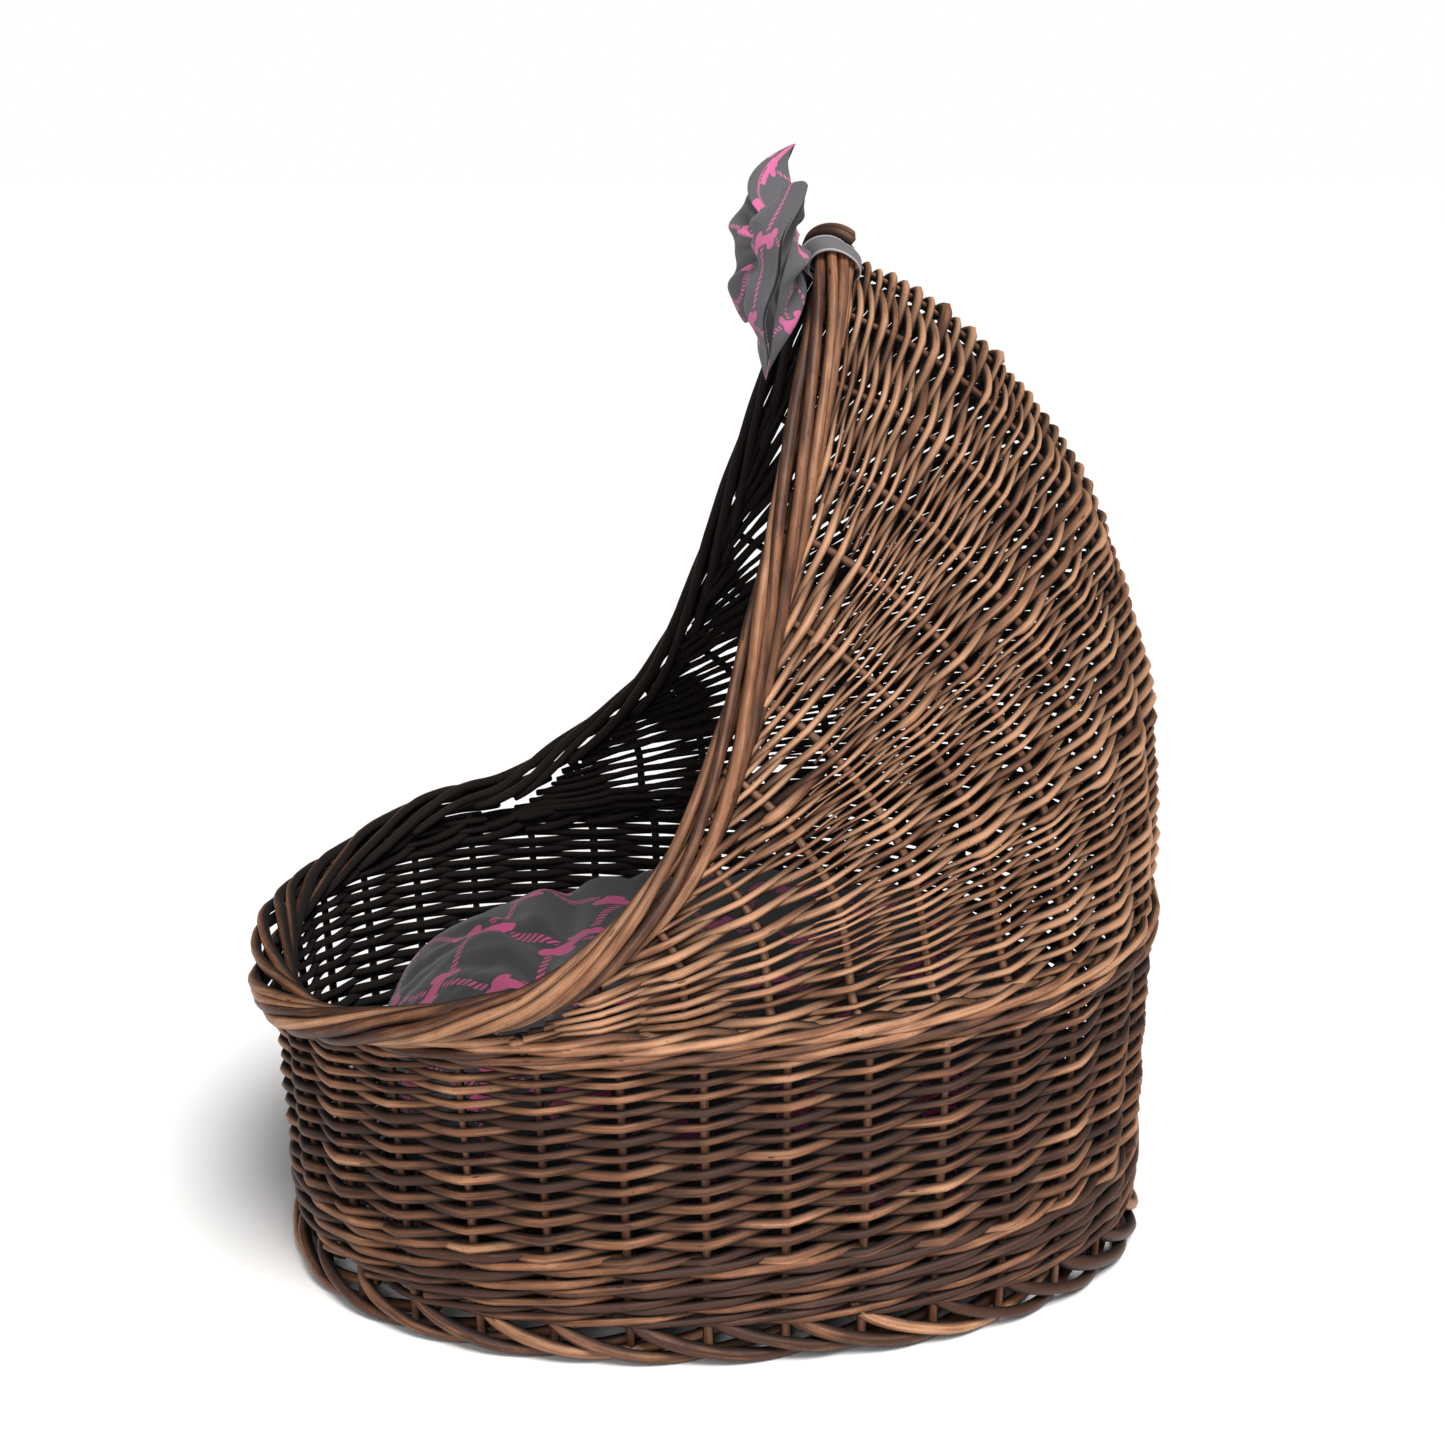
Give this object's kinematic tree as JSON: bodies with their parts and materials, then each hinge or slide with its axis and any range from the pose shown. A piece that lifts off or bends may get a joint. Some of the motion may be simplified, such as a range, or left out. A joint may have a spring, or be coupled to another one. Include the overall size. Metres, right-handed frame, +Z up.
{
  "type": "hooded wicker pet basket",
  "caption": "Oval woven willow pet basket with a high hood at one end, a plaited border, a loose padded cushion and a fabric bow at the peak.",
  "frame": {"origin": "middle of the foot ring's underside, at floor level, midway between the front and back extremes", "axes": "+Z up, -Y out through the mouth, +X to the right of someone facing the mouth from outside; the object is symmetric about X = 0"},
  "size_m": [0.497, 0.6178, 0.727],
  "materials": {
    "willow_weave": "stained brown willow, slight sheen",
    "willow_border": "stained brown willow, rubbed tan highlights",
    "willow_stake": "dark stained willow, matt",
    "cushion_fabric": "grey twill with a pink print",
    "bow_fabric": "grey twill with a pink print",
    "ribbon_fabric": "plain grey woven tape with pink edges"
  },
  "bodies": {
    "basket": {"foot_border": "willow_border", "rim_border": "willow_border", "upsett_wale": "willow_weave", "lower_siding": "willow_weave", "shoulder_wale": "willow_weave", "hood_siding": "willow_weave", "base_panel": "willow_weave", "base_stick_long_1": "willow_stake", "base_stick_long_2": "willow_stake", "base_stick_long_3": "willow_stake", "base_stick_cross_1": "willow_stake", "base_stick_cross_2": "willow_stake", "base_stick_cross_3": "willow_stake", "base_stick_cross_4": "willow_stake", "base_stick_cross_5": "willow_stake", "base_stick_cross_6": "willow_stake", "base_stick_cross_7": "willow_stake", "stake_01": "willow_stake", "stake_02": "willow_stake", "stake_03": "willow_stake", "stake_04": "willow_stake", "stake_05": "willow_stake", "stake_06": "willow_stake", "stake_07": "willow_stake", "stake_08": "willow_stake", "stake_09": "willow_stake", "stake_10": "willow_stake", "stake_11": "willow_stake", "stake_12": "willow_stake", "stake_13": "willow_stake", "stake_14": "willow_stake", "stake_15": "willow_stake", "stake_16": "willow_stake", "stake_17": "willow_stake", "stake_18": "willow_stake", "stake_19": "willow_stake", "stake_20": "willow_stake", "stake_21": "willow_stake", "stake_22": "willow_stake", "stake_23": "willow_stake", "stake_24": "willow_stake", "stake_25": "willow_stake", "stake_26": "willow_stake", "stake_27": "willow_stake", "stake_28": "willow_stake", "stake_29": "willow_stake", "stake_30": "willow_stake", "stake_31": "willow_stake", "stake_32": "willow_stake", "stake_33": "willow_stake", "stake_34": "willow_stake", "bow_wing_right": "bow_fabric", "bow_wing_left": "bow_fabric", "bow_knot": "bow_fabric", "bow_ribbon": "ribbon_fabric"},
    "cushion_body": {"cushion": "cushion_fabric"}
  },
  "joints": [
    {"name": "cushion_lift", "type": "slide", "parent": "basket", "child": "cushion_body", "axis": [0, 0, 1], "range_m": [0, 0.15]}
  ]
}
